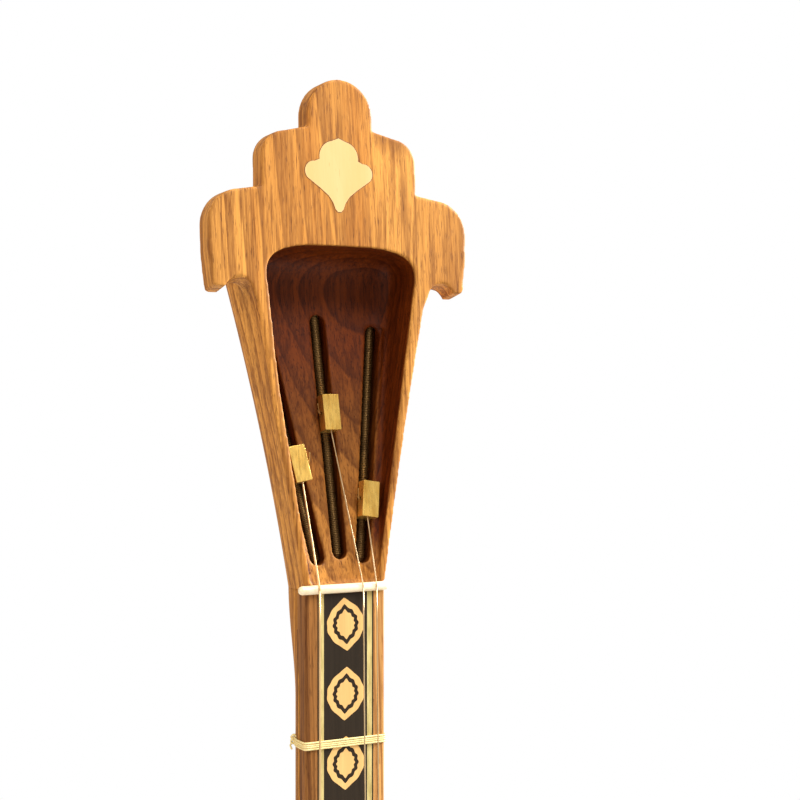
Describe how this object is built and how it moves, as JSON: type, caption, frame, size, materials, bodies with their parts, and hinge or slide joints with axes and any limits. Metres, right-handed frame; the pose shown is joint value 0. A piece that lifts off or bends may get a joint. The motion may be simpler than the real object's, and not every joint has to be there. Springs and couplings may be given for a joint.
{
  "type": "long-necked lute",
  "caption": "Long-necked lute with staved bowl, inlaid neck, tied frets, crowned open pegbox and screw-driven brass string carriers.",
  "frame": {"origin": "middle of the nut on the front plane of the fingerboard, where a padded fork carries the neck", "axes": "+Z along the neck towards the head, +X to the right of the playing side, -Y out of the playing side"},
  "size_m": [0.236, 0.1719, 0.9689],
  "materials": {
    "walnut": "oiled",
    "light_walnut": "oiled",
    "mulberry": "oiled",
    "boxwood": "polished",
    "dark_wood": "polished",
    "bone": "polished",
    "gut": "satin",
    "brass": "brushed",
    "bronze_string": "wound",
    "steel_string": "drawn"
  },
  "bodies": {
    "body": {"neck": "walnut", "fingerboard": "walnut", "fingerboard_band": "dark_wood", "fingerboard_lines": "boxwood", "fingerboard_medallions": "boxwood", "nut": "bone", "heel_collar": "dark_wood", "pegbox": "walnut", "headstock_crown": "light_walnut", "crown_inlay": "boxwood", "tuner_bushings": "brass", "string_bass": "bronze_string", "string_middle": "steel_string", "string_treble": "steel_string", "bowl_rib_1": "walnut", "bowl_rib_2": "light_walnut", "bowl_rib_3": "walnut", "bowl_rib_4": "light_walnut", "bowl_rib_5": "walnut", "bowl_rib_6": "light_walnut", "bowl_rib_7": "walnut", "neck_block": "mulberry", "tail_block": "mulberry", "soundboard": "mulberry", "soundboard_wings": "walnut", "soundboard_binding": "dark_wood", "soundboard_brace": "mulberry", "tail_cap": "dark_wood", "tail_saddle": "bone", "tail_pins": "brass", "strap_button": "brass"},
    "tuner_bass": {"tuner_screw_bass": "brass", "tuner_knob_bass": "brass"},
    "carrier_bass": {"tuner_carrier_bass": "brass", "string_knot_bass": "steel_string"},
    "tuner_middle": {"tuner_screw_middle": "brass", "tuner_knob_middle": "brass"},
    "carrier_middle": {"tuner_carrier_middle": "brass", "string_knot_middle": "steel_string"},
    "tuner_treble": {"tuner_screw_treble": "brass", "tuner_knob_treble": "brass"},
    "carrier_treble": {"tuner_carrier_treble": "brass", "string_knot_treble": "steel_string"},
    "fret_01": {"fret_01": "gut"},
    "fret_02": {"fret_02": "gut"},
    "fret_03": {"fret_03": "gut"},
    "fret_04": {"fret_04": "gut"},
    "fret_05": {"fret_05": "gut"},
    "fret_06": {"fret_06": "gut"},
    "fret_07": {"fret_07": "gut"},
    "fret_08": {"fret_08": "gut"},
    "fret_09": {"fret_09": "gut"},
    "fret_10": {"fret_10": "gut"},
    "fret_11": {"fret_11": "gut"},
    "fret_12": {"fret_12": "gut"},
    "fret_13": {"fret_13": "gut"},
    "fret_14": {"fret_14": "gut"},
    "bridge": {"bridge": "light_walnut"}
  },
  "joints": [
    {"name": "carrier_slide_bass", "type": "slide", "parent": "body", "child": "carrier_bass", "axis": [-0.1599, 0.2124, 0.964], "range_m": [-0.0209, 0.033], "deforming": ["string_bass"]},
    {"name": "tuner_turn_bass", "type": "hinge", "parent": "body", "child": "tuner_bass", "pos_m": [-0.00663, 0.00507, 0.00567], "axis": [-0.1599, 0.2124, 0.964], "range_deg": [-23761, 15049]},
    {"name": "carrier_slide_middle", "type": "slide", "parent": "body", "child": "carrier_middle", "axis": [0, 0.2152, 0.9766], "range_m": [-0.0333, 0.0215], "deforming": ["string_middle"]},
    {"name": "tuner_turn_middle", "type": "hinge", "parent": "body", "child": "tuner_middle", "pos_m": [0, 0.00535, 0.00696], "axis": [0, 0.2152, 0.9766], "range_deg": [-15481, 23977]},
    {"name": "carrier_slide_treble", "type": "slide", "parent": "body", "child": "carrier_treble", "axis": [0.1599, 0.2124, 0.964], "range_m": [-0.0105, 0.0434], "deforming": ["string_treble"]},
    {"name": "tuner_turn_treble", "type": "hinge", "parent": "body", "child": "tuner_treble", "pos_m": [0.00663, 0.00507, 0.00567], "axis": [0.1599, 0.2124, 0.964], "range_deg": [-31249, 7561]},
    {"name": "fret_01_slide", "type": "slide", "parent": "body", "child": "fret_01", "axis": [0, 0, 1], "range_m": [-0.003, 0.003]},
    {"name": "fret_02_slide", "type": "slide", "parent": "body", "child": "fret_02", "axis": [0, 0, 1], "range_m": [-0.003, 0.003]},
    {"name": "fret_03_slide", "type": "slide", "parent": "body", "child": "fret_03", "axis": [0, 0, 1], "range_m": [-0.003, 0.003]},
    {"name": "fret_04_slide", "type": "slide", "parent": "body", "child": "fret_04", "axis": [0, 0, 1], "range_m": [-0.003, 0.003]},
    {"name": "fret_05_slide", "type": "slide", "parent": "body", "child": "fret_05", "axis": [0, 0, 1], "range_m": [-0.003, 0.003]},
    {"name": "fret_06_slide", "type": "slide", "parent": "body", "child": "fret_06", "axis": [0, 0, 1], "range_m": [-0.003, 0.003]},
    {"name": "fret_07_slide", "type": "slide", "parent": "body", "child": "fret_07", "axis": [0, 0, 1], "range_m": [-0.003, 0.003]},
    {"name": "fret_08_slide", "type": "slide", "parent": "body", "child": "fret_08", "axis": [0, 0, 1], "range_m": [-0.003, 0.003]},
    {"name": "fret_09_slide", "type": "slide", "parent": "body", "child": "fret_09", "axis": [0, 0, 1], "range_m": [-0.003, 0.003]},
    {"name": "fret_10_slide", "type": "slide", "parent": "body", "child": "fret_10", "axis": [0, 0, 1], "range_m": [-0.003, 0.003]},
    {"name": "fret_11_slide", "type": "slide", "parent": "body", "child": "fret_11", "axis": [0, 0, 1], "range_m": [-0.003, 0.003]},
    {"name": "fret_12_slide", "type": "slide", "parent": "body", "child": "fret_12", "axis": [0, 0, 1], "range_m": [-0.003, 0.003]},
    {"name": "fret_13_slide", "type": "slide", "parent": "body", "child": "fret_13", "axis": [0, 0, 1], "range_m": [-0.003, 0.003]},
    {"name": "fret_14_slide", "type": "slide", "parent": "body", "child": "fret_14", "axis": [0, 0, 1], "range_m": [-0.003, 0.003]},
    {"name": "bridge_slide", "type": "slide", "parent": "body", "child": "bridge", "axis": [0, 0, 1], "range_m": [-0.004, 0.004], "deforming": ["string_bass", "string_middle", "string_treble"]}
  ],
  "couplings": [
    {"joint": "tuner_turn_bass", "follows": "carrier_slide_bass", "rad_per_m": -12566},
    {"joint": "tuner_turn_middle", "follows": "carrier_slide_middle", "rad_per_m": -12566},
    {"joint": "tuner_turn_treble", "follows": "carrier_slide_treble", "rad_per_m": -12566}
  ]
}
